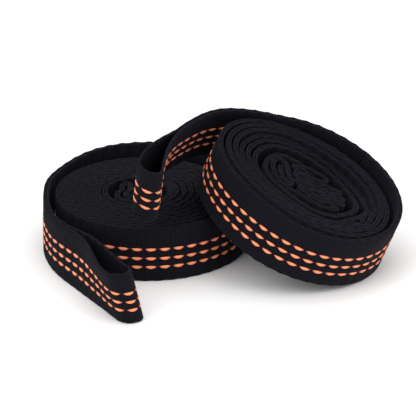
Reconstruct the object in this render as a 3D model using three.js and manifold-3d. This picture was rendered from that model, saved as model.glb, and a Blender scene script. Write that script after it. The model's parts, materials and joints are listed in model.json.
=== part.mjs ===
// A pair of hammock tree straps, rolled up for carrying. Each strap is polyester webbing laid
// double: a base band and a loop band, sewn together by bar tacks, and folded at one end into
// an anchor loop. The lower roll lies flat, and the upper one leans on its rim.
// Millimetres, +Z up. The origin is under the middle of the pair, on the surface they lie on.
import * as THREE from 'three';
import { mergeVertices } from 'three/addons/utils/BufferGeometryUtils.js';
import Module from 'manifold-3d';

const wasm = await Module();
wasm.setup();

// Webbing and the way it packs.
const WEB_WIDTH = 25;
const WEB_THICKNESS = 1.1;
const CLEARANCE = 0.3;
const LAYER_PITCH = WEB_THICKNESS + CLEARANCE;
const TURN_PITCH = 2 * LAYER_PITCH;
const CORE_RADIUS = 5;
const FACETS_PER_TURN = 20;

// Three tracer yarns, woven in nearer to one edge, each in its own shallow channel.
const TRACER_HEIGHTS = [7, 11, 15.2];
const TRACER_WIDTH = 1.35;
const TRACER_THICKNESS = 0.4;
const CHANNEL_DEPTH = 0.5;

// Bar tacks: dense rows of thread through both bands.
const TACKS_PER_STRAP = 7;
const TACK_LENGTH = 1.6;
const TACK_SPAN = 18;
const FIRST_TACK_FROM_CORE = 75;
const LAST_TACK_FROM_LOOP = 9;
const CUTTER_MARGIN = 0.2;

// Anchor loops: the doubled tail that stands out of each roll.
const LEG_STEPS = 11;
const BEND_STEPS = 7;
const HINGE_GAP = 0.4;

// The lower roll. Its last turn is slack at the back.
const LOWER = {
  name: 'lower',
  outerRadius: 46,
  endAngle: 180,
  slack: 4.5,
  slackAngle: 65,
  slackFrom: 1,
  slackTo: 0.25,
  tail: [[-44.8, -13], [-41.1, -30.5], [-35.5, -43], [-29, -53], [-22.3, -62], [-15.3, -71], [-8.3, -82]],
  loopHalfWidth: 5.3,
  loopOpensFrom: 0.33,
  tipLean: [-0.22, -0.1],
};

// The upper roll. Its last turn is slack at the back and right.
const UPPER = {
  name: 'upper',
  outerRadius: 44,
  endAngle: 105,
  slack: 4.2,
  slackAngle: 62,
  slackFrom: 1.05,
  slackTo: 0.2,
  tail: [
    [-28, 37.8], [-39.8, 32.2], [-46.8, 25.8], [-53.2, 17.4], [-59.4, 7.3], [-63.1, -2.2], [-65, -12.5],
    [-66.3, -26.5],
  ],
  loopHalfWidth: 5.3,
  loopOpensFrom: 0.42,
  tipLean: [-0.26, 0.03],
};

// How the upper roll lies: turned about X and Y, its low rim on the ground.
const UPPER_TILT_X = 11.2;
const UPPER_TILT_Y = 20.8;
const UPPER_CENTRE = [60, -19.2];

const webbingMaterial = new THREE.MeshStandardMaterial({ color: 0x1c1c26, roughness: 0.85, metalness: 0 });
const loopWebbingMaterial = new THREE.MeshStandardMaterial({ color: 0x20202b, roughness: 0.85, metalness: 0 });
const tackMaterial = new THREE.MeshStandardMaterial({ color: 0x121217, roughness: 0.7, metalness: 0 });
const tracerMaterial = new THREE.MeshStandardMaterial({ color: 0xff7a3d, roughness: 0.6, metalness: 0 });

const radians = THREE.MathUtils.degToRad;
const smoothstep = THREE.MathUtils.smoothstep;

// A path is a list of stations along a doubled or single band: a point on its lower edge, the
// outward direction, level with the roll, and the direction from its lower edge to its upper edge.

// The roll: a spiral wound outwards. The last turn moves off centre and leaves a crescent gap.
function coilPath(roll) {
  const endRadius = roll.outerRadius - WEB_THICKNESS / 2 - LAYER_PITCH / 2;
  const turns = (endRadius - roll.slack - CORE_RADIUS) / TURN_PITCH;
  const facets = Math.round(turns * FACETS_PER_TURN);
  const up = new THREE.Vector3(0, 0, 1);
  const slackWay = new THREE.Vector3(Math.cos(radians(roll.slackAngle)), Math.sin(radians(roll.slackAngle)), 0);
  const path = [];
  for (let i = 0; i <= facets; i++) {
    const turnsLeft = (facets - i) / FACETS_PER_TURN;
    const angle = radians(roll.endAngle) - turnsLeft * 2 * Math.PI;
    const ease = 1 - smoothstep(turnsLeft, roll.slackTo, roll.slackFrom);
    const radius = endRadius - TURN_PITCH * turnsLeft - roll.slack * (1 - ease);
    const outward = new THREE.Vector3(Math.cos(angle), Math.sin(angle), 0);
    const point = outward.clone().multiplyScalar(radius).addScaledVector(slackWay, roll.slack * (ease - 1));
    path.push({ point, outward, up });
  }
  return path;
}

// The anchor loop: out along one leg, round the bend and back along the other. The legs lie
// together at the throat and open like a teardrop towards the bend.
function loopPath(roll, coil) {
  const end = coil[coil.length - 1];
  const away = new THREE.Vector3().crossVectors(end.up, end.outward);
  const start = end.point.clone().addScaledVector(away, HINGE_GAP);
  const spine = new THREE.CatmullRomCurve3(
    [start, ...roll.tail.map(([x, y]) => new THREE.Vector3(x, y, 0))], false, 'centripetal');
  const upAt = (u) => {
    const lean = smoothstep(u, roll.loopOpensFrom, 1);
    return new THREE.Vector3(roll.tipLean[0] * lean, roll.tipLean[1] * lean, 1).normalize();
  };
  const sideways = (u) => {
    const along = u === 0 ? away : spine.getTangentAt(u);
    return new THREE.Vector3(along.y, -along.x, 0).normalize();
  };
  const halfGap = (u) => {
    const opening = smoothstep(u, roll.loopOpensFrom, 1);
    return LAYER_PITCH / 2 + (roll.loopHalfWidth - LAYER_PITCH / 2) * opening;
  };
  const places = [];
  for (let i = 0; i <= LEG_STEPS; i++) {
    const u = i / LEG_STEPS;
    places.push({ point: spine.getPointAt(u).addScaledVector(sideways(u), halfGap(u)), up: upAt(u) });
  }
  const bendCentre = spine.getPointAt(1);
  for (let i = 1; i < BEND_STEPS; i++) {
    const turn = Math.PI * i / BEND_STEPS;
    const point = bendCentre.clone()
      .addScaledVector(sideways(1), roll.loopHalfWidth * Math.cos(turn))
      .addScaledVector(spine.getTangentAt(1), roll.loopHalfWidth * Math.sin(turn));
    places.push({ point, up: upAt(1) });
  }
  for (let i = LEG_STEPS; i >= 0; i--) {
    const u = i / LEG_STEPS;
    places.push({ point: spine.getPointAt(u).addScaledVector(sideways(u), -halfGap(u)), up: upAt(u) });
  }
  return places.map(({ point, up }, i) => {
    const before = places[Math.max(i - 1, 0)].point;
    const after = places[Math.min(i + 1, places.length - 1)].point;
    const outward = new THREE.Vector3(after.y - before.y, before.x - after.x, 0).normalize();
    return { point, outward, up };
  });
}

// A point of a band: a place along its path, which may lie between two stations, a distance
// outwards from its middle layer, and a height above its lower edge.
function spot(path, place, out, height) {
  const i = Math.min(Math.floor(place), path.length - 2);
  const corners = [path[i], path[i + 1]].map(({ point, outward, up }) => (
    point.clone().addScaledVector(outward, out).addScaledVector(up, height)));
  return corners[0].lerp(corners[1], place - i);
}

// A closed band along part of a path, as a box whose cross-sections follow the stations.
function band(path, from, to, [inner, outer], [low, high]) {
  const steps = Math.ceil(to) - Math.floor(from);
  const geometry = new THREE.BoxGeometry(1, 1, 1, steps, 1, 1);
  const position = geometry.attributes.position;
  for (let i = 0; i < position.count; i++) {
    const step = Math.round((position.getX(i) + 0.5) * steps);
    const out = position.getY(i) < 0 ? outer : inner;
    const height = position.getZ(i) < 0 ? low : high;
    const { x, y, z } = spot(path, from + (to - from) * step / steps, out, height);
    position.setXYZ(i, x, y, z);
  }
  geometry.deleteAttribute('normal');
  geometry.deleteAttribute('uv');
  return mergeVertices(geometry, 1e-4);
}

function solid(geometry) {
  return new wasm.Manifold(new wasm.Mesh({
    numProp: 3,
    vertProperties: Float32Array.from(geometry.attributes.position.array),
    triVerts: Uint32Array.from(geometry.index.array),
  }));
}

function cut(geometry, cutters) {
  let body = solid(geometry);
  for (const cutter of cutters) {
    body = body.subtract(solid(cutter));
  }
  const mesh = body.getMesh();
  const result = new THREE.BufferGeometry();
  result.setAttribute('position', new THREE.BufferAttribute(mesh.vertProperties, 3));
  result.setIndex(new THREE.BufferAttribute(mesh.triVerts, 1));
  return result;
}

function piece(name, geometry, material) {
  geometry.computeVertexNormals();
  const mesh = new THREE.Mesh(geometry, material);
  mesh.name = name;
  return mesh;
}

// The facets that carry a bar tack, evenly spaced along the strap.
function tackFacets(coil) {
  const lengths = [0];
  for (let i = 1; i < coil.length; i++) {
    lengths.push(lengths[i - 1] + coil[i].point.distanceTo(coil[i - 1].point));
  }
  const total = lengths[lengths.length - 1];
  const spacing = (total - FIRST_TACK_FROM_CORE - LAST_TACK_FROM_LOOP) / (TACKS_PER_STRAP - 1);
  return Array.from({ length: TACKS_PER_STRAP }, (_, k) => {
    const wanted = FIRST_TACK_FROM_CORE + spacing * k;
    return lengths.findIndex((length) => length > wanted) - 1;
  });
}

// One bar tack, or the slightly larger slot that it passes through.
function tackBand(coil, facet, extra, reach) {
  const chord = coil[facet].point.distanceTo(coil[facet + 1].point);
  const half = (TACK_LENGTH / 2 + extra) / chord;
  const middle = facet + 0.5;
  const edge = (WEB_WIDTH - TACK_SPAN) / 2 - extra;
  return band(coil, middle - half, middle + half, [-reach, reach], [edge, WEB_WIDTH - edge]);
}

// Tracer yarns and their channels in the outward face of a band.
function tracerBands(path, from, to, face, extra, depth, proud) {
  return TRACER_HEIGHTS.map((height) => {
    const half = TRACER_WIDTH / 2 + extra;
    return band(path, from, to, [face - depth, face + proud], [height - half, height + half]);
  });
}

function strap(roll) {
  const group = new THREE.Group();
  const coil = coilPath(roll);
  const last = coil.length - 1;
  const outerTurn = last - FACETS_PER_TURN + 1;
  const half = WEB_THICKNESS / 2;
  const width = [0, WEB_WIDTH];
  const pairReach = LAYER_PITCH / 2 + half;
  const facets = tackFacets(coil);
  const slots = facets.map((facet) => tackBand(coil, facet, CLEARANCE, pairReach + CUTTER_MARGIN));
  const tracerLift = TRACER_THICKNESS - CHANNEL_DEPTH + CLEARANCE;

  const baseWebbing = band(coil, 0, last, [LAYER_PITCH / 2 - half, pairReach], width);
  const coilChannels = tracerBands(coil, outerTurn, last - 1, pairReach, CLEARANCE, CHANNEL_DEPTH, CHANNEL_DEPTH);
  group.add(piece(`${roll.name}_base_webbing`, cut(baseWebbing, [...slots, ...coilChannels]), webbingMaterial));

  const loopWebbing = band(coil, 0, last, [-pairReach, half - LAYER_PITCH / 2], width);
  group.add(piece(`${roll.name}_loop_webbing`, cut(loopWebbing, slots), loopWebbingMaterial));

  facets.forEach((facet, k) => {
    group.add(piece(`${roll.name}_bar_tack_${k + 1}`, tackBand(coil, facet, 0, pairReach), tackMaterial));
  });

  const endGap = CLEARANCE / coil[last].point.distanceTo(coil[last - 1].point);
  tracerBands(coil, outerTurn + endGap, last - 1 - endGap, pairReach, 0, CHANNEL_DEPTH - CLEARANCE, tracerLift)
    .forEach((tracer, k) => {
      group.add(piece(`${roll.name}_coil_tracer_${k + 1}`, tracer, tracerMaterial));
    });

  const loop = loopPath(roll, coil);
  const tip = loop.length - 1;
  const loopChannels = tracerBands(loop, 1, tip - 1, half, CLEARANCE, CHANNEL_DEPTH, CHANNEL_DEPTH);
  const anchorLoop = band(loop, 0, tip, [-half, half], width);
  group.add(piece(`${roll.name}_anchor_loop`, cut(anchorLoop, loopChannels), webbingMaterial));
  tracerBands(loop, 1 + endGap, tip - 1 - endGap, half, 0, CHANNEL_DEPTH - CLEARANCE, tracerLift)
    .forEach((tracer, k) => {
      group.add(piece(`${roll.name}_loop_tracer_${k + 1}`, tracer, tracerMaterial));
    });
  return group;
}

const lowerStrap = strap(LOWER);
const upperStrap = strap(UPPER);
upperStrap.rotation.set(radians(UPPER_TILT_X), radians(UPPER_TILT_Y), 0);
upperStrap.position.set(UPPER_CENTRE[0], UPPER_CENTRE[1], 0);
upperStrap.updateMatrixWorld(true);
upperStrap.position.z = -new THREE.Box3().setFromObject(upperStrap, true).min.z;

const pair = new THREE.Group();
pair.add(lowerStrap, upperStrap);
pair.updateMatrixWorld(true);
const bounds = new THREE.Box3().setFromObject(pair, true);
const middle = bounds.getCenter(new THREE.Vector3());
pair.position.set(-middle.x, -middle.y, -bounds.min.z);

export default pair;
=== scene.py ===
import json
import math

import bmesh
import bpy
import numpy as np
from mathutils import Matrix, Vector


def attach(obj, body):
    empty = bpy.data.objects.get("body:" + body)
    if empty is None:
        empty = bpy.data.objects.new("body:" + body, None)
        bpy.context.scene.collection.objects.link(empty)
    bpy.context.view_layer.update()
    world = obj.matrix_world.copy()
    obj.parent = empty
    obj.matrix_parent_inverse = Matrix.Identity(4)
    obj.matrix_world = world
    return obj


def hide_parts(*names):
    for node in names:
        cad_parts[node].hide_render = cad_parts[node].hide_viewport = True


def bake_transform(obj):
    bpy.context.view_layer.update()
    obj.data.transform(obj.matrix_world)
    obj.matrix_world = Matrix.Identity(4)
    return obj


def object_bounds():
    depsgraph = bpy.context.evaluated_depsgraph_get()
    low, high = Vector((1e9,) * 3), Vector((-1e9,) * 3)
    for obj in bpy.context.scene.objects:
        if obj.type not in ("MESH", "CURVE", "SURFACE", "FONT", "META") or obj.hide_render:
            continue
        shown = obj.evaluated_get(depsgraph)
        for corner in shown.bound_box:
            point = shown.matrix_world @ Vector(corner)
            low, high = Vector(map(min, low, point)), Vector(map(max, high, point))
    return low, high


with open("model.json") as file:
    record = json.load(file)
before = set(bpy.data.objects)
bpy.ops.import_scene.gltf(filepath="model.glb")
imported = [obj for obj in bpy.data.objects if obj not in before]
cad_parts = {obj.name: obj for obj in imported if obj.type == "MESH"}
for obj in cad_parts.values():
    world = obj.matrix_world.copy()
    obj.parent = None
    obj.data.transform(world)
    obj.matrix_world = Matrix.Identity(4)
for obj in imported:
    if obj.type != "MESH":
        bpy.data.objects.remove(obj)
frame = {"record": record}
cad_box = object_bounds()
joints = {joint["name"]: joint for joint in frame["record"]["behaviour"]["joints"]}


# ---------------------------------------------------------------- Table top, camera and lamps
# The straps lie on a plain pale table top. A long lens looks down at them from the front, a
# little above the level of the rolls, and broad soft lamps light them from above and in front.

mm = 0.001
TABLE_HALF = 1.6
VIEW_RISE = math.radians(23.7)
VIEW_DISTANCE = 5.0
VIEW_WIDTH = 178.9 * mm
VIEW_AIM_OFFSET = Vector((-6.2, -12.0, -1.4)) * mm
SENSOR = 36.0
ROOM_LIGHT = 0.55


def finish_mesh(bm, name, material, smooth=True):
    """Turns a bmesh into an object at the origin that has one material."""
    mesh = bpy.data.meshes.new(name)
    bm.to_mesh(mesh)
    bm.free()
    mesh.materials.append(material)
    for face in mesh.polygons:
        face.use_smooth = smooth
    thing = bpy.data.objects.new(name, mesh)
    bpy.context.scene.collection.objects.link(thing)
    return thing


def plain_material(name, colour, roughness):
    """A Principled material, with its shader and its node tree."""
    material = bpy.data.materials.new(name)
    material.use_nodes = True
    shader = material.node_tree.nodes["Principled BSDF"]
    shader.inputs["Base Color"].default_value = (*colour, 1)
    shader.inputs["Roughness"].default_value = roughness
    return material, shader, material.node_tree


table_paint, _, _ = plain_material("table_paint", (0.96, 0.96, 0.96), 0.8)
bm = bmesh.new()
bmesh.ops.create_grid(bm, x_segments=1, y_segments=1, size=TABLE_HALF)
table_top = finish_mesh(bm, "table_top", table_paint, smooth=False)

low, high = (Vector(corner) for corner in cad_box)
aim = (low + high) / 2 + VIEW_AIM_OFFSET
camera = bpy.data.objects.new("camera", bpy.data.cameras.new("camera"))
camera.data.sensor_width = SENSOR
camera.data.lens = SENSOR * VIEW_DISTANCE / VIEW_WIDTH
camera.location = aim + VIEW_DISTANCE * Vector((0, -math.cos(VIEW_RISE), math.sin(VIEW_RISE)))
camera.rotation_euler = (math.pi / 2 - VIEW_RISE, 0, 0)
bpy.context.scene.collection.objects.link(camera)
bpy.context.scene.camera = camera

for name, place, size, power in (
    ("lamp_overhead", (0.0, 0.1, 1.1), 2.2, 17.0),
    ("lamp_front_left", (-0.8, -0.9, 0.8), 1.1, 7.0),
    ("lamp_front_right", (0.9, -0.8, 0.6), 1.1, 4.5),
):
    lamp = bpy.data.objects.new(name, bpy.data.lights.new(name, "AREA"))
    lamp.data.size = size
    lamp.data.energy = power
    lamp.location = place
    lamp.rotation_euler = (aim - Vector(place)).to_track_quat("-Z", "Y").to_euler()
    bpy.context.scene.collection.objects.link(lamp)

world = bpy.data.worlds.new("white_room")
world.use_nodes = True
world.node_tree.nodes["Background"].inputs["Color"].default_value = (1, 1, 1, 1)
world.node_tree.nodes["Background"].inputs["Strength"].default_value = ROOM_LIGHT
bpy.context.scene.world = world
bpy.context.scene.view_settings.view_transform = "Standard"


# ---------------------------------------------------------------- Webbing of the lower roll
# Woven polyester webbing, 25 mm wide and 1.1 mm thick, with a rib at every weft. It is folded in
# two at the anchor loop, laid double and wound up from the far end, so each turn is two layers:
# the base webbing outside and the loop webbing inside. The last turn is loose at the back.

WEB_WIDTH = 25 * mm
WEB_THICKNESS = 1.1 * mm
LAYER_HALF_GAP = 0.62 * mm
RIB_PITCH = 1.2 * mm
RIB_DEPTH = 0.08 * mm
SELVEDGE_DEPTH = 0.1 * mm
SCALLOP_PITCH = 6 * mm
SCALLOP_DEPTH = 0.2 * mm
SELVEDGE_BAND = 0.3 * mm
EDGE_INSET = 0.08 * mm
EDGE_FLAT = 0.55  # the flat part of an edge, as a share of the thickness
STATION_STEP = 0.4 * mm
ROOT_LENGTH = 40 * mm  # this much of the last turn is made with the anchor loop

# how a roll is drawn: directions are in degrees, and turns are counted in from its last one
COIL_POINTS = 36
RING_POINTS = 18
RING_STOPS = 0.04
CORE_TURN = math.radians(25)
BULGE_SIDE = 140
BULGE_GROWS = (0.25, 0.75)
DRAWN_IN_SIDE = 236
RIPPLE_GROWS = (1.2, 4.5)
RIPPLE_ELSEWHERE = 0.12
RIPPLE_IN_RING = 0.1
WAVES = 13  # to a turn
WAVES_START = 0.8
FINE_WAVES = 21
FINE_SHARE = 0.35
LEAN_FADES = 8 * mm

LOWER_ROLL = {
    "radius": 46 * mm,
    "end_angle": math.radians(180),
    "turn_pitch": 2.8 * mm,
    "turns": 8.4,
    "slack": 4.5 * mm,
    "slack_angle": math.radians(65),
    "slack_span": (0.25, 1.0),
    "drift": np.array((-0.34, 0.28)) * mm,
    "ripple": 0.5 * mm,
    "ripple_side": 40,
    "bulge": 0,
    "pulled_in": 0,
    "coil_lean": 0,
    # folds of the strap's inner end, as seen from above, from its middle outwards
    "core": mm * np.array((
        (-8.4, 4.6), (-9.2, 0.5), (-8.2, -4.0), (-6.6, -6.2), (-5.0, -4.4), (-5.9, 0.2), (-5.0, 4.8),
        (-3.6, 7.2), (-1.9, 5.0), (-2.6, 0.4), (-1.6, -5.0), (-0.1, -7.6), (1.6, -5.2), (0.8, 0.2),
        (1.6, 5.2), (3.2, 7.6), (4.7, 5.2), (4.1, 0.0), (4.9, -4.9), (6.5, -7.2), (8.2, -4.8), (7.5, 0.2),
        (8.6, 4.8), (7.4, 8.8), (3.6, 11.2), (-2.0, 11.4), (-7.8, 9.0),
    )),
    "core_radius": 13.4 * mm,
    "ring_turns": 1.2,
    "tail": np.array((
        (-44.8, -13), (-41.1, -30.5), (-35.5, -43), (-29, -53), (-22.3, -62), (-15.3, -71), (-8.3, -82),
    )) * mm,
    "loop_half_width": 5.3 * mm,
    "loop_opens_from": 0.48,
    "bow": 3.0 * mm,
    "tip_lean": np.array((-0.22, -0.1)),
}


def eased(value, start, end):
    """Goes smoothly from 0 at start to 1 at end."""
    part = np.clip((value - start) / (end - start), 0, 1)
    return part * part * (3 - 2 * part)


def run_of(points):
    """The length from the first point to each point."""
    return np.r_[0, np.cumsum(np.linalg.norm(np.diff(points[:, :2], axis=0), axis=1))]


def curve_through(points, step):
    """A smooth curve through the points, with a station at about every step."""
    run = run_of(points)
    slope = np.gradient(points, run, axis=0)
    along = np.linspace(0, run[-1], int(run[-1] / step) + 1)
    span = np.clip(np.searchsorted(run, along, side="right") - 1, 0, len(run) - 2)
    size = (run[span + 1] - run[span])[:, None]
    part = (along - run[span])[:, None] / size
    return (
        (1 + 2 * part) * (1 - part) ** 2 * points[span]
        + part * (1 - part) ** 2 * size * slope[span]
        + part ** 2 * (3 - 2 * part) * points[span + 1]
        + part ** 2 * (part - 1) * size * slope[span + 1]
    )


def evenly_spaced(points, step):
    """The same line with its stations a step apart."""
    run = run_of(points)
    along = np.linspace(0, run[-1], int(round(run[-1] / step)) + 1)
    return np.stack([np.interp(along, run, column) for column in points.T], axis=1)


def sideways(points):
    """The direction to the outside of the roll at each point of a line that is wound outwards."""
    ahead = np.gradient(points[:, :2], axis=0)
    ahead /= np.linalg.norm(ahead, axis=1)[:, None]
    return np.stack([ahead[:, 1], -ahead[:, 0]], axis=1)


def towards(outside, degrees, power):
    """Goes from 1 where a roll faces this way to 0 a quarter turn away from there."""
    way = np.array((math.cos(math.radians(degrees)), math.sin(math.radians(degrees))))
    return np.clip(outside @ way, 0, 1) ** power


def outward(angle):
    """The directions at these angles, as x and y."""
    return np.stack([np.cos(angle), np.sin(angle)], axis=1)


def level(ways):
    """Directions in the plane as three numbers, with no rise."""
    return np.concatenate([ways, np.zeros((len(ways), 1))], axis=1)


def upward(stations):
    """The webbing's own upward direction at each station, from how far it leans in x and y."""
    up = np.concatenate([stations[:, 3:5], np.ones((len(stations), 1))], axis=1)
    return up / np.linalg.norm(up, axis=1)[:, None]


def ripple(roll, angle, left):
    """Slack that shows as waves on one side of a roll, larger in its inner turns."""
    one_side = towards(outward(angle), roll["ripple_side"], 2)
    size = roll["ripple"] * eased(left, *RIPPLE_GROWS)
    size = size * (RIPPLE_ELSEWHERE + (1 - RIPPLE_ELSEWHERE) * one_side)
    return size * (np.cos(WAVES * angle + WAVES_START) + FINE_SHARE * np.cos(FINE_WAVES * angle))


def strap_line(roll):
    """The middle of the doubled strap from its core to its anchor loop's tip, and the run at its hinge."""
    left = np.arange(roll["turns"], 0, -1 / COIL_POINTS)
    left = np.r_[left, 0] if left[-1] > 1e-6 else left
    angle = roll["end_angle"] - 2 * math.pi * left
    loose = eased(left, *roll["slack_span"])
    outside = outward(angle)
    slack_way = np.array((math.cos(roll["slack_angle"]), math.sin(roll["slack_angle"])))
    end_radius = roll["radius"] - WEB_THICKNESS / 2 - LAYER_HALF_GAP
    radius = end_radius - roll["turn_pitch"] * left - roll["slack"] * loose
    radius += ripple(roll, angle, left)
    radius *= 1 + roll["bulge"] * towards(outside, BULGE_SIDE, 3) * eased(left, *BULGE_GROWS)
    radius *= 1 - roll["pulled_in"] * towards(outside, DRAWN_IN_SIDE, 4)
    middle = -slack_way * roll["slack"] * loose[:, None] + roll["drift"] * left[:, None]
    coil = middle + outside * radius[:, None]
    # a ring of one or two turns runs in from the tidy turns to the folds of the core
    ring_left = np.arange(roll["ring_turns"], RING_STOPS, -1 / RING_POINTS)
    ring_angle = angle[0] - 2 * math.pi * ring_left
    ring_radius = radius[0] + (roll["core_radius"] - radius[0]) * ring_left / roll["ring_turns"]
    ring_outside = outward(ring_angle)
    near_coil = 1 - ring_left / roll["ring_turns"]
    ring_waves = ripple(roll, ring_angle, roll["turns"] + ring_left)
    ring_radius += ring_waves * np.minimum(1, RIPPLE_IN_RING + near_coil)
    ring_radius *= 1 + roll["bulge"] * towards(ring_outside, BULGE_SIDE, 3) * near_coil
    ring = middle[0] + ring_outside * ring_radius[:, None]
    turn = ring_angle[0] - math.atan2(roll["core"][-1][1], roll["core"][-1][0]) - CORE_TURN
    turning = np.array(((math.cos(turn), math.sin(turn)), (-math.sin(turn), math.cos(turn))))
    core = middle[0] + roll["core"] @ turning
    wound = curve_through(np.concatenate([core, ring, coil]), STATION_STEP / 2)
    hinge_run = run_of(wound)[-1]
    line = curve_through(np.concatenate([core, ring, coil, roll["tail"]]), STATION_STEP / 2)
    return evenly_spaced(line, STATION_STEP / 2), hinge_run


def band_sections(heights):
    """The webbing's rounded section: how far out, how high, and how far round it each corner lies."""
    half = WEB_THICKNESS / 2
    up = [(half, h) for h in heights]
    top = [(EDGE_FLAT * half, WEB_WIDTH - EDGE_INSET), (-EDGE_FLAT * half, WEB_WIDTH - EDGE_INSET)]
    down = [(-half, h) for h in reversed(heights)]
    bottom = [(-EDGE_FLAT * half, EDGE_INSET), (EDGE_FLAT * half, EDGE_INSET)]
    section = np.array(up + top + down + bottom + up[:1])
    return section, run_of(section)


def webbing(name, stations, heights, place, material):
    """Webbing laid along stations of x, y, rise, and lean in x and y, in the roll's own plane. A grid is
    rolled round the webbing's section, and its first and last columns are merged."""
    section, round_run = band_sections(heights)
    run = run_of(stations)
    out = sideways(stations)
    rib = np.cos(2 * math.pi * run / RIB_PITCH)
    scallop = np.cos(2 * math.pi * run / SCALLOP_PITCH)
    sign = np.sign(section[:, 0])
    shelf = np.abs(section[:, 1] - WEB_WIDTH / 2) > WEB_WIDTH / 2 - SELVEDGE_BAND
    offset = section[:, 0] + rib[:, None] * RIB_DEPTH * sign
    height = section[:, 1] + np.sign(section[:, 1] - WEB_WIDTH / 2) * shelf * (
        rib[:, None] * SELVEDGE_DEPTH + scallop[:, None] * SCALLOP_DEPTH - SCALLOP_DEPTH
    )
    spots = (
        stations[:, None, :3]
        + level(out)[:, None, :] * offset[:, :, None]
        + upward(stations)[:, None, :] * height[:, :, None]
    )
    spots = place(spots)

    bm = bmesh.new()
    uv = bm.loops.layers.uv.new("strap")
    columns, rows = len(section), len(run)
    bmesh.ops.create_grid(bm, x_segments=columns - 1, y_segments=rows - 1, size=0.5)
    corner_of = {}
    for vert in bm.verts:
        column = round((vert.co.x + 0.5) * (columns - 1))
        row = round((vert.co.y + 0.5) * (rows - 1))
        corner_of[vert.index] = (row, column)
        vert.co = spots[row, column]
    for face in bm.faces:
        for loop in face.loops:
            row, column = corner_of[loop.vert.index]
            loop[uv].uv = (run[row] / mm, round_run[column] / mm)
    seam = [v for v in bm.verts if corner_of[v.index][1] in (0, columns - 1)]
    bmesh.ops.remove_doubles(bm, verts=seam, dist=1e-7)
    ends = [edge for edge in bm.edges if edge.is_boundary]
    bmesh.ops.holes_fill(bm, edges=ends, sides=0)
    bmesh.ops.recalc_face_normals(bm, faces=bm.faces)
    return finish_mesh(bm, name, material)


def lower_place(spots):
    """From the lower roll's own plane to the table: its hinge is on its left side."""
    hinge = np.array(joints["lower_loop_swing"]["pos_m"])
    return spots + (hinge - np.array((-LOWER_ROLL["radius"], 0, WEB_WIDTH / 2)))


def woven_group():
    """Weft ribs and warp yarns, from the webbing's own map in millimetres: crests (a mask that also sets the
    painted shade between the ribs), relief and patches.
    """
    group = bpy.data.node_groups.new("woven_webbing", "ShaderNodeTree")
    face = group.interface
    for title, value in (("Rib Pitch", 1.2), ("Yarn Pitch", 0.55)):
        socket = face.new_socket(title, in_out="INPUT", socket_type="NodeSocketFloat")
        socket.default_value = value
    for title in ("Crest", "Relief", "Cloud"):
        face.new_socket(title, in_out="OUTPUT", socket_type="NodeSocketFloat")
    nodes, links = group.nodes, group.links
    entry, exit_ = nodes.new("NodeGroupInput"), nodes.new("NodeGroupOutput")

    def sum_of(operation, *values):
        node = nodes.new("ShaderNodeMath")
        node.operation = operation
        for slot, value in zip(node.inputs, values):
            if isinstance(value, (int, float)):
                slot.default_value = value
            else:
                links.new(value, slot)
        return node.outputs[0]

    strap_map = nodes.new("ShaderNodeUVMap")
    strap_map.uv_map = "strap"
    split = nodes.new("ShaderNodeSeparateXYZ")
    links.new(strap_map.outputs[0], split.inputs[0])
    along, across = split.outputs[0], split.outputs[1]
    cloud = nodes.new("ShaderNodeTexNoise")
    cloud.inputs["Scale"].default_value = 0.35
    cloud.inputs["Detail"].default_value = 3
    links.new(strap_map.outputs[0], cloud.inputs["Vector"])
    wander = sum_of("MULTIPLY", cloud.outputs[0], 0.5)
    ribs = sum_of("DIVIDE", sum_of("ADD", along, wander), entry.outputs["Rib Pitch"])
    rib_wave = sum_of("MULTIPLY_ADD", sum_of("COSINE", sum_of("MULTIPLY", ribs, 2 * math.pi)), 0.5, 0.5)
    odd = sum_of("MULTIPLY", sum_of("FLOOR", sum_of("MULTIPLY", ribs, 2)), math.pi)
    yarns = sum_of("MULTIPLY", sum_of("DIVIDE", across, entry.outputs["Yarn Pitch"]), 2 * math.pi)
    yarn_wave = sum_of("MULTIPLY_ADD", sum_of("COSINE", sum_of("ADD", yarns, odd)), 0.5, 0.5)
    fibre = nodes.new("ShaderNodeTexNoise")
    fibre.inputs["Scale"].default_value = 6
    fibre.inputs["Detail"].default_value = 4
    links.new(strap_map.outputs[0], fibre.inputs["Vector"])
    crest = sum_of("MULTIPLY", sum_of("MULTIPLY_ADD", yarn_wave, 0.45, 0.55), rib_wave)
    relief = sum_of("MULTIPLY_ADD", fibre.outputs[0], 0.25, crest)
    links.new(crest, exit_.inputs["Crest"])
    links.new(relief, exit_.inputs["Relief"])
    links.new(cloud.outputs[0], exit_.inputs["Cloud"])
    return group


woven_webbing = woven_group()


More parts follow.
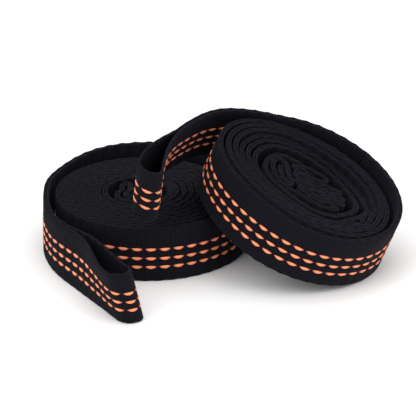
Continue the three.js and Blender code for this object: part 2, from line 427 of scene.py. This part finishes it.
def webbing_material(name, valley_shade, crest_colour):
    """Black polyester webbing with a soft sheen and painted shade between the ribs: the colour is darker in
    the valleys and greyer on the crests.
    """
    material, shader, tree = plain_material(name, crest_colour, 0.85)
    weave = tree.nodes.new("ShaderNodeGroup")
    weave.node_tree = woven_webbing
    weave.inputs["Rib Pitch"].default_value = RIB_PITCH / mm
    weave.inputs["Yarn Pitch"].default_value = 0.62
    shade = tree.nodes.new("ShaderNodeMix")
    shade.data_type = "RGBA"
    shade.inputs["A"].default_value = (*valley_shade, 1)
    shade.inputs["B"].default_value = (*crest_colour, 1)
    # painted shade: the crest mask blends the colour from the dark valley shade between the ribs to the
    # greyer crests
    tree.links.new(weave.outputs["Crest"], shade.inputs["Factor"])
    worn = tree.nodes.new("ShaderNodeMapRange")
    worn.inputs["To Min"].default_value = 0.75
    worn.inputs["To Max"].default_value = 1.25
    tree.links.new(weave.outputs["Cloud"], worn.inputs["Value"])
    tint = tree.nodes.new("ShaderNodeVectorMath")
    tint.operation = "SCALE"
    tree.links.new(shade.outputs["Result"], tint.inputs[0])
    tree.links.new(worn.outputs[0], tint.inputs["Scale"])
    tree.links.new(tint.outputs[0], shader.inputs["Base Color"])
    bump = tree.nodes.new("ShaderNodeBump")
    bump.inputs["Strength"].default_value = 0.8
    bump.inputs["Distance"].default_value = 0.2 * mm
    tree.links.new(weave.outputs["Relief"], bump.inputs["Height"])
    tree.links.new(bump.outputs[0], shader.inputs["Normal"])
    shader.inputs["Sheen Weight"].default_value = 0.03
    shader.inputs["Sheen Roughness"].default_value = 0.4
    shader.inputs["Sheen Tint"].default_value = (0.55, 0.58, 0.8, 1)
    shader.inputs["Specular IOR Level"].default_value = 0.12
    return material


# the first colour is the painted shade in the valleys between the ribs, the second is the colour of the
# crests
black_webbing = webbing_material("black_webbing", (0.0014, 0.0014, 0.003), (0.0074, 0.0076, 0.0135))

COIL_HEIGHTS = [h * mm for h in (0.5, 6.5, 12.5, 18.5, 24.5)]


def coil_layers(roll, prefix, place, rise):
    """Both layers of one rolled strap, up to the root of its anchor loop. Gives each one's stations."""
    line, hinge_run = strap_line(roll)
    run = run_of(line)
    kept = line[run <= hinge_run - ROOT_LENGTH]
    out = sideways(line)[: len(kept)]
    layers = {}
    for title, side in (("base", 1), ("loop", -1)):
        path = kept + out * side * LAYER_HALF_GAP
        away = kept / np.maximum(np.linalg.norm(kept, axis=1), LEAN_FADES)[:, None]
        lean = -away * (roll["coil_lean"] * towards(away, DRAWN_IN_SIDE, 4))[:, None]
        stations = np.concatenate([path, rise(kept, run[: len(kept)], hinge_run)[:, None], lean], axis=1)
        stations = evenly_spaced(stations, STATION_STEP)
        layers[title] = stations
        piece = webbing(f"{prefix}_{title}_layer", stations, COIL_HEIGHTS, place, black_webbing)
        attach(piece, f"{prefix}_roll")
        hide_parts(f"{prefix}_{title}_webbing")
        layers[title + "_piece"] = piece
        layers[title + "_length"] = run_of(stations)[-1]
    return line, hinge_run, layers


LOWER_RIDE_UP = 2.6 * mm
LOWER_BACK = (20 * mm, 44 * mm)
LOWER_LOOSE_TURN = (0.6, 0.9)


def lower_rise(points, run, hinge_run):
    """The lower roll lies flat, and its loose last turn rides up a little at the back."""
    left = (hinge_run - run) / (2 * math.pi * LOWER_ROLL["radius"])
    behind = eased(points[:, 1], *LOWER_BACK)
    return LOWER_RIDE_UP * behind * (1 - eased(left, *LOWER_LOOSE_TURN))


lower_line, lower_hinge_run, lower_layers = coil_layers(LOWER_ROLL, "lower", lower_place, lower_rise)


# ---------------------------------------------------------------- Webbing of the lower anchor loop
# The closed end of the strap stands out of the roll on its edge: the webbing runs out, round the
# tip and back, and the two legs part on the way to the tip. It leans outwards at the tip.

LOOP_HEIGHTS = [h * mm for h in (0.5, 3.5, 6.5, 9.5, 12.5, 15.5, 18.5, 21.5, 24.5)]
LOOP_STEP = 0.3 * mm
TIP_POINTS = 61
BOW_STARTS = 0.3  # as a share of the loop's length
BOW_LENGTH = 0.66
INNER_LEG_BOW = 1.3


def loop_stations(roll, line, hinge_run, rise):
    """Out along one leg, round the tip and back along the other, with the lean of each station."""
    run = run_of(line)
    root = run >= hinge_run - ROOT_LENGTH
    spine, out, run = line[root], sideways(line)[root], run[root]
    part = np.clip((run - hinge_run) / (run[-1] - hinge_run), 0, 1)
    opening = eased(part, roll["loop_opens_from"], 1)
    half = LAYER_HALF_GAP + (roll["loop_half_width"] - LAYER_HALF_GAP) * opening
    lift = rise(spine, run, hinge_run)
    turn = np.linspace(0, math.pi, TIP_POINTS)[1:-1]
    ahead = np.array((-out[-1][1], out[-1][0]))
    bend = spine[-1] + roll["loop_half_width"] * (
        np.cos(turn)[:, None] * out[-1] + np.sin(turn)[:, None] * ahead
    )
    bow = roll["bow"] * np.sin(math.pi * np.clip((part - BOW_STARTS) / BOW_LENGTH, 0, 1)) ** 2
    near = half + INNER_LEG_BOW * bow
    path = np.concatenate([spine + out * half[:, None], bend, (spine - out * near[:, None])[::-1]])
    lean = np.concatenate([opening, np.ones(len(bend)), opening[::-1]])[:, None] * roll["tip_lean"]
    lean[: len(spine)] -= out * (bow / WEB_WIDTH)[:, None]
    height = np.concatenate([lift, np.full(len(bend), lift[-1]), lift[::-1]])[:, None]
    return evenly_spaced(np.concatenate([path, height, lean], axis=1), LOOP_STEP)


lower_loop = loop_stations(LOWER_ROLL, lower_line, lower_hinge_run, lower_rise)
lower_loop_piece = webbing("lower_anchor_loop_band", lower_loop, LOOP_HEIGHTS, lower_place, black_webbing)
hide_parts("lower_anchor_loop")


def lower_bend(piece):
    """Bakes the placement of a piece of the lower anchor loop into its mesh."""
    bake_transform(piece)


lower_bend(lower_loop_piece)


# ---------------------------------------------------------------- Tracer yarns of the lower strap
# Three rows of bright orange yarn are woven in along one face of the webbing. Each yarn shows as
# leaf-shaped floats, 5.1 mm long at every 6 mm, and dives under the ribs between them.

TRACER_HEIGHTS = [7 * mm, 11 * mm, 15.2 * mm]
FLOAT_PITCH = 6 * mm
FLOAT_LENGTH = 5.1 * mm
FLOAT_WIDTH = 1.5 * mm
FLOAT_RISE = 0.35 * mm
FLOAT_SAG = 0.4 * mm
FLOAT_FULLNESS = 2.3  # a higher power keeps a float wide for longer before its tips
TRACER_TURN = 0.84  # the part of the last turn that shows the rows
TRACER_ROOT = 0.9  # the part of the loop's root that is left plain


def tracer_material():
    """Orange polyester yarn: fine filaments along each float, with painted shade that makes it darker and
    redder towards its ends, where it dives.
    """
    material, shader, tree = plain_material("tracer_yarn", (0.95, 0.2, 0.06), 0.5)
    float_map = tree.nodes.new("ShaderNodeUVMap")
    float_map.uv_map = "strap"
    split = tree.nodes.new("ShaderNodeSeparateXYZ")
    tree.links.new(float_map.outputs[0], split.inputs[0])
    # painted shade: the colour darkens and reddens from the middle of each float to its tips, where it dives
    # under the ribs
    float_end_shade_ramp = tree.nodes.new("ShaderNodeValToRGB")
    float_end_shade_ramp.color_ramp.elements[0].position = 0.0
    float_end_shade_ramp.color_ramp.elements[0].color = (0.45, 0.05, 0.03, 1)
    float_end_shade_ramp.color_ramp.elements[1].position = 0.3
    float_end_shade_ramp.color_ramp.elements[1].color = (1.0, 0.29, 0.115, 1)
    fold = tree.nodes.new("ShaderNodeMath")
    fold.operation = "PINGPONG"
    fold.inputs[1].default_value = 0.5
    tree.links.new(split.outputs[0], fold.inputs[0])
    tree.links.new(fold.outputs[0], float_end_shade_ramp.inputs[0])
    tree.links.new(float_end_shade_ramp.outputs[0], shader.inputs["Base Color"])
    filament = tree.nodes.new("ShaderNodeTexNoise")
    filament.inputs["Scale"].default_value = 1.0
    filament.inputs["Detail"].default_value = 3
    stretch = tree.nodes.new("ShaderNodeMapping")
    stretch.inputs["Scale"].default_value = (3, 14, 1)
    tree.links.new(float_map.outputs[0], stretch.inputs["Vector"])
    tree.links.new(stretch.outputs[0], filament.inputs["Vector"])
    bump = tree.nodes.new("ShaderNodeBump")
    bump.inputs["Strength"].default_value = 0.6
    bump.inputs["Distance"].default_value = 0.1 * mm
    tree.links.new(filament.outputs[0], bump.inputs["Height"])
    tree.links.new(bump.outputs[0], shader.inputs["Normal"])
    shader.inputs["Sheen Weight"].default_value = 0.2
    return material


tracer_yarn = tracer_material()


def yarn_floats(name, runs, row_height, place):
    """Floats of one row. runs gives stations, the side that shows them, and the first and last run."""
    seed = bmesh.new()
    bmesh.ops.create_uvsphere(seed, u_segments=8, v_segments=6, radius=1)
    bmesh.ops.rotate(seed, verts=seed.verts, matrix=Matrix.Rotation(math.pi / 2, 3, "Y"))
    pattern = bpy.data.meshes.new("float")
    seed.to_mesh(pattern)
    seed.free()
    shape = np.array([v.co for v in pattern.vertices])
    bm = bmesh.new()
    uv = bm.loops.layers.uv.new("strap")
    spots, marks = [], []
    for stations, side, first, last in runs:
        run = run_of(stations)
        out = sideways(stations)
        for middle in np.arange(first, last, FLOAT_PITCH):
            bm.from_mesh(pattern)
            at = middle + shape[:, 0] * FLOAT_LENGTH / 2
            across = np.maximum(np.hypot(shape[:, 1], shape[:, 2]), 1e-6)
            taper = (1 - np.abs(shape[:, 0]) ** FLOAT_FULLNESS) / across
            foot = np.stack([np.interp(at, run, stations[:, k]) for k in range(5)], axis=1)
            way = np.stack([np.interp(at, run, out[:, k]) for k in range(2)], axis=1)
            off = side * (WEB_THICKNESS / 2 + FLOAT_RISE * shape[:, 2])
            tall = row_height + FLOAT_WIDTH / 2 * shape[:, 1] * taper - FLOAT_SAG * (1 - shape[:, 0] ** 2)
            spots.append(foot[:, :3] + level(way) * off[:, None] + upward(foot) * tall[:, None])
            marks.append(shape[:, :2] * 0.5 + 0.5)
    spots = place(np.concatenate(spots))
    marks = np.concatenate(marks)
    for vert, spot in zip(bm.verts, spots):
        vert.co = spot
    bm.verts.index_update()
    for face in bm.faces:
        for loop in face.loops:
            loop[uv].uv = marks[loop.vert.index]
    bmesh.ops.recalc_face_normals(bm, faces=bm.faces)
    bpy.data.meshes.remove(pattern)
    return finish_mesh(bm, name, tracer_yarn)


def tracer_rows(prefix, roll, layers, loop, place, bend):
    """The three rows on the last turn of a roll, and on its anchor loop."""
    base = layers["base"]
    base_end = run_of(base)[-1]
    turn = 2 * math.pi * roll["radius"]
    for row, height in enumerate(TRACER_HEIGHTS, start=1):
        coil_row = yarn_floats(
            f"{prefix}_coil_floats_{row}",
            [(base, 1, base_end - TRACER_TURN * turn, base_end - FLOAT_LENGTH / 2)],
            height,
            place,
        )
        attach(coil_row, f"{prefix}_roll")
        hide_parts(f"{prefix}_coil_tracer_{row}")
        length = run_of(loop)[-1]
        loop_row = yarn_floats(
            f"{prefix}_loop_floats_{row}",
            [(loop, 1, FLOAT_PITCH / 2, length - TRACER_ROOT * ROOT_LENGTH)],
            height,
            place,
        )
        bend(loop_row)
        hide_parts(f"{prefix}_loop_tracer_{row}")


tracer_rows("lower", LOWER_ROLL, lower_layers, lower_loop, lower_place, lower_bend)


# ---------------------------------------------------------------- Webbing of the upper roll
# The second strap is the same webbing, wound more loosely. It leans with one edge on the table and
# the other on the first roll. It bulges at the back left, and its last turn is loose at the back.
# Known fault: where the ring of UPPER_ROLL meets its turns, neighbouring turns pass through each other.

UPPER_ROLL = {
    "radius": 44 * mm,
    "end_angle": math.radians(105),
    "turn_pitch": 2.85 * mm,
    "turns": 5,
    "slack": 2.0 * mm,
    "slack_angle": math.radians(78),
    "slack_span": (0.2, 1.05),
    "drift": np.array((0.2, 0.38)) * mm,
    "ripple": 1.3 * mm,
    "ripple_side": -25,
    "bulge": 0.12,
    "pulled_in": 0.03,
    "coil_lean": 0.15,
    # a long narrow loop on the left, then slack gathered in wavy folds to its right
    "core": mm * np.array((
        (-13.2, 6.0), (-13.2, -4.0), (-11.6, -8.5), (-10.0, -4.0), (-9.8, 5.0), (-11.0, 10.4), (-13.8, 12.0),
        (-16.2, 8.5), (-16.8, 0.0), (-15.6, -8.0), (-12.0, -12.6), (-6.0, -14.4), (1.0, -15.2), (8.0, -14.6),
        (12.9, -12.2), (9.6, -10.2), (4.0, -11.4), (-2.0, -11.0), (-6.4, -9.5), (-2.0, -7.4), (4.0, -8.0),
        (10.0, -6.7), (15.2, -7.0), (16.4, -4.4), (12.0, -3.4), (6.0, -4.7), (0.0, -3.9), (-4.8, -4.6),
        (-6.4, -1.8), (-1.0, -0.7), (5.0, -1.6), (11.0, -0.2), (16.0, -0.8), (17.1, 1.7), (12.0, 2.9),
        (6.0, 1.5), (0.0, 2.6), (-4.8, 1.6), (-6.3, 4.3), (-1.0, 5.7), (5.0, 4.6), (11.0, 6.2), (15.3, 5.1),
        (16.1, 7.8), (11.0, 9.5), (5.0, 7.7), (0.0, 8.9), (-4.8, 7.7), (-6.6, 10.5), (-2.0, 12.0),
        (4.0, 10.9), (9.4, 12.3), (10.2, 14.9), (5.0, 16.1), (-2.0, 15.1), (-8.0, 15.7), (-13.5, 14.8),
    )),
    "core_radius": 20.5 * mm,
    "ring_turns": 1.854,
    "tail": np.array((
        (-28, 37.8), (-39.8, 32.2), (-46.8, 25.8), (-53.2, 17.4), (-59.4, 7.3), (-63.1, -2.2), (-65, -12.5),
        (-66.3, -26.5),
    )) * mm,
    "loop_half_width": 5.3 * mm,
    "loop_opens_from": 0.62,
    "bow": 0,
    "tip_lean": np.array((-0.26, 0.03)),
}

upper_up = -Vector(joints["upper_loop_swing"]["axis"]).normalized()
upper_back = Vector((0, upper_up.z, -upper_up.y)).normalized()
upper_right = upper_back.cross(upper_up)
upper_axes = np.array((upper_right, upper_back, upper_up))
upper_hinge = np.array((
    UPPER_ROLL["radius"] * math.cos(UPPER_ROLL["end_angle"]),
    UPPER_ROLL["radius"] * math.sin(UPPER_ROLL["end_angle"]),
    WEB_WIDTH / 2,
))


def upper_place(spots):
    """From the upper roll's own plane to its place, leaning on the lower roll."""
    return np.array(joints["upper_loop_swing"]["pos_m"]) + (spots - upper_hinge) @ upper_axes


INNER_TURNS = (0.3, 1.0)  # these have tipped inside the last turn
INNER_TURNS_DROP = 0.5 * mm
INNER_TURNS_SLOPE = 0.09
SLOPE_WAY = (0.75, 0.65)
CORE_TURNS = (2.2, 3.6)  # these have sunk below the rest, most of all on one side
CORE_SINK = 5 * mm
CORE_SINK_SIDE = 40
CORE_SINK_ELSEWHERE = 0.3
SINK_FADES = 6 * mm


def upper_rise(points, run, hinge_run):
    """The upper roll's inner turns have tipped: up at the front left and down at the back right."""
    left = (hinge_run - run) / (2 * math.pi * UPPER_ROLL["radius"])
    tipped = eased(left, *INNER_TURNS)
    outside = points / np.maximum(np.linalg.norm(points, axis=1), SINK_FADES)[:, None]
    one_side = CORE_SINK_ELSEWHERE + (1 - CORE_SINK_ELSEWHERE) * towards(outside, CORE_SINK_SIDE, 2)
    sunk = CORE_SINK * eased(left, *CORE_TURNS) * one_side
    slope = INNER_TURNS_SLOPE * (SLOPE_WAY[0] * points[:, 0] + SLOPE_WAY[1] * points[:, 1])
    return -tipped * (INNER_TURNS_DROP + slope) - sunk


upper_line, upper_hinge_run, upper_layers = coil_layers(UPPER_ROLL, "upper", upper_place, upper_rise)


# ---------------------------------------------------------------- Webbing of the upper anchor loop
# The upper strap's closed end leaves its roll at the back, bows out to the left and comes forward
# over the lower roll. It is stiff enough on its edge to stand clear of everything.

upper_loop = loop_stations(UPPER_ROLL, upper_line, upper_hinge_run, upper_rise)
upper_loop_piece = webbing("upper_anchor_loop_band", upper_loop, LOOP_HEIGHTS, upper_place, black_webbing)
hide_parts("upper_anchor_loop")


def upper_bend(piece):
    """Bakes the placement of a piece of the upper anchor loop into its mesh."""
    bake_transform(piece)


upper_bend(upper_loop_piece)
tracer_rows("upper", UPPER_ROLL, upper_layers, upper_loop, upper_place, upper_bend)


# ---------------------------------------------------------------- Bar tacks
# At seven places along each strap the two layers are joined with a bar tack: a dense zigzag of
# black bonded thread across the webbing. It shows as small raised stitches on both faces.

TACKS = 7
TACK_SPAN = 18 * mm
TACK_LENGTH = 1.6 * mm
TACK_STITCHES = 28
THREAD_RADIUS = 0.13 * mm
THREAD_LIFT = 0.05 * mm
FIRST_TACK = 75 * mm
LAST_TACK_BEFORE_HINGE = 9 * mm

tack_thread, thread_shader, thread_tree = plain_material("tack_thread", (0.006, 0.006, 0.009), 0.45)
ply = thread_tree.nodes.new("ShaderNodeTexWave")
ply.inputs["Scale"].default_value = 900
ply_place = thread_tree.nodes.new("ShaderNodeTexCoord")
thread_tree.links.new(ply_place.outputs["Object"], ply.inputs["Vector"])
ply_bump = thread_tree.nodes.new("ShaderNodeBump")
ply_bump.inputs["Distance"].default_value = 0.04 * mm
thread_tree.links.new(ply.outputs["Fac"], ply_bump.inputs["Height"])
thread_tree.links.new(ply_bump.outputs[0], thread_shader.inputs["Normal"])


def bar_tack(name, line, run, middle, rise, place):
    """Zigzag thread on the outer and the inner face of the doubled strap, round one place on its run."""
    thread = bpy.data.curves.new(name, "CURVE")
    thread.dimensions = "3D"
    thread.bevel_depth = THREAD_RADIUS
    thread.bevel_resolution = 0
    thread.use_fill_caps = True
    out = sideways(line)
    step = np.arange(TACK_STITCHES + 1)
    at = middle + TACK_LENGTH / 2 * (-1) ** step
    tall = (WEB_WIDTH - TACK_SPAN) / 2 + TACK_SPAN * step / TACK_STITCHES
    foot = np.stack([np.interp(at, run, line[:, k]) for k in (0, 1)], axis=1)
    way = np.stack([np.interp(at, run, out[:, k]) for k in (0, 1)], axis=1)
    lift = np.interp(at, run, rise)
    for side in (1, -1):
        off = side * (LAYER_HALF_GAP + WEB_THICKNESS / 2 + THREAD_LIFT)
        spots = place(np.concatenate([foot + way * off, (lift + tall)[:, None]], axis=1))
        spline = thread.splines.new("POLY")
        spline.points.add(len(spots) - 1)
        for point, spot in zip(spline.points, spots):
            point.co = (*spot, 1)
    guide = bpy.data.objects.new(name + "_guide", thread)
    bpy.context.scene.collection.objects.link(guide)
    stitches = bpy.data.meshes.new_from_object(guide.evaluated_get(bpy.context.evaluated_depsgraph_get()))
    bpy.data.objects.remove(guide)
    stitches.name = name
    stitches.materials.clear()
    stitches.materials.append(tack_thread)
    piece = bpy.data.objects.new(name, stitches)
    bpy.context.scene.collection.objects.link(piece)
    return piece


for prefix, line, hinge_run, rise, place in (
    ("lower", lower_line, lower_hinge_run, lower_rise, lower_place),
    ("upper", upper_line, upper_hinge_run, upper_rise, upper_place),
):
    run = run_of(line)
    lift = rise(line, run, hinge_run)
    places = np.linspace(FIRST_TACK, hinge_run - LAST_TACK_BEFORE_HINGE, TACKS)
    for number, middle in enumerate(places, start=1):
        tack = bar_tack(f"{prefix}_tack_stitches_{number}", line, run, middle, lift, place)
        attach(tack, f"{prefix}_roll")
        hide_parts(f"{prefix}_bar_tack_{number}")
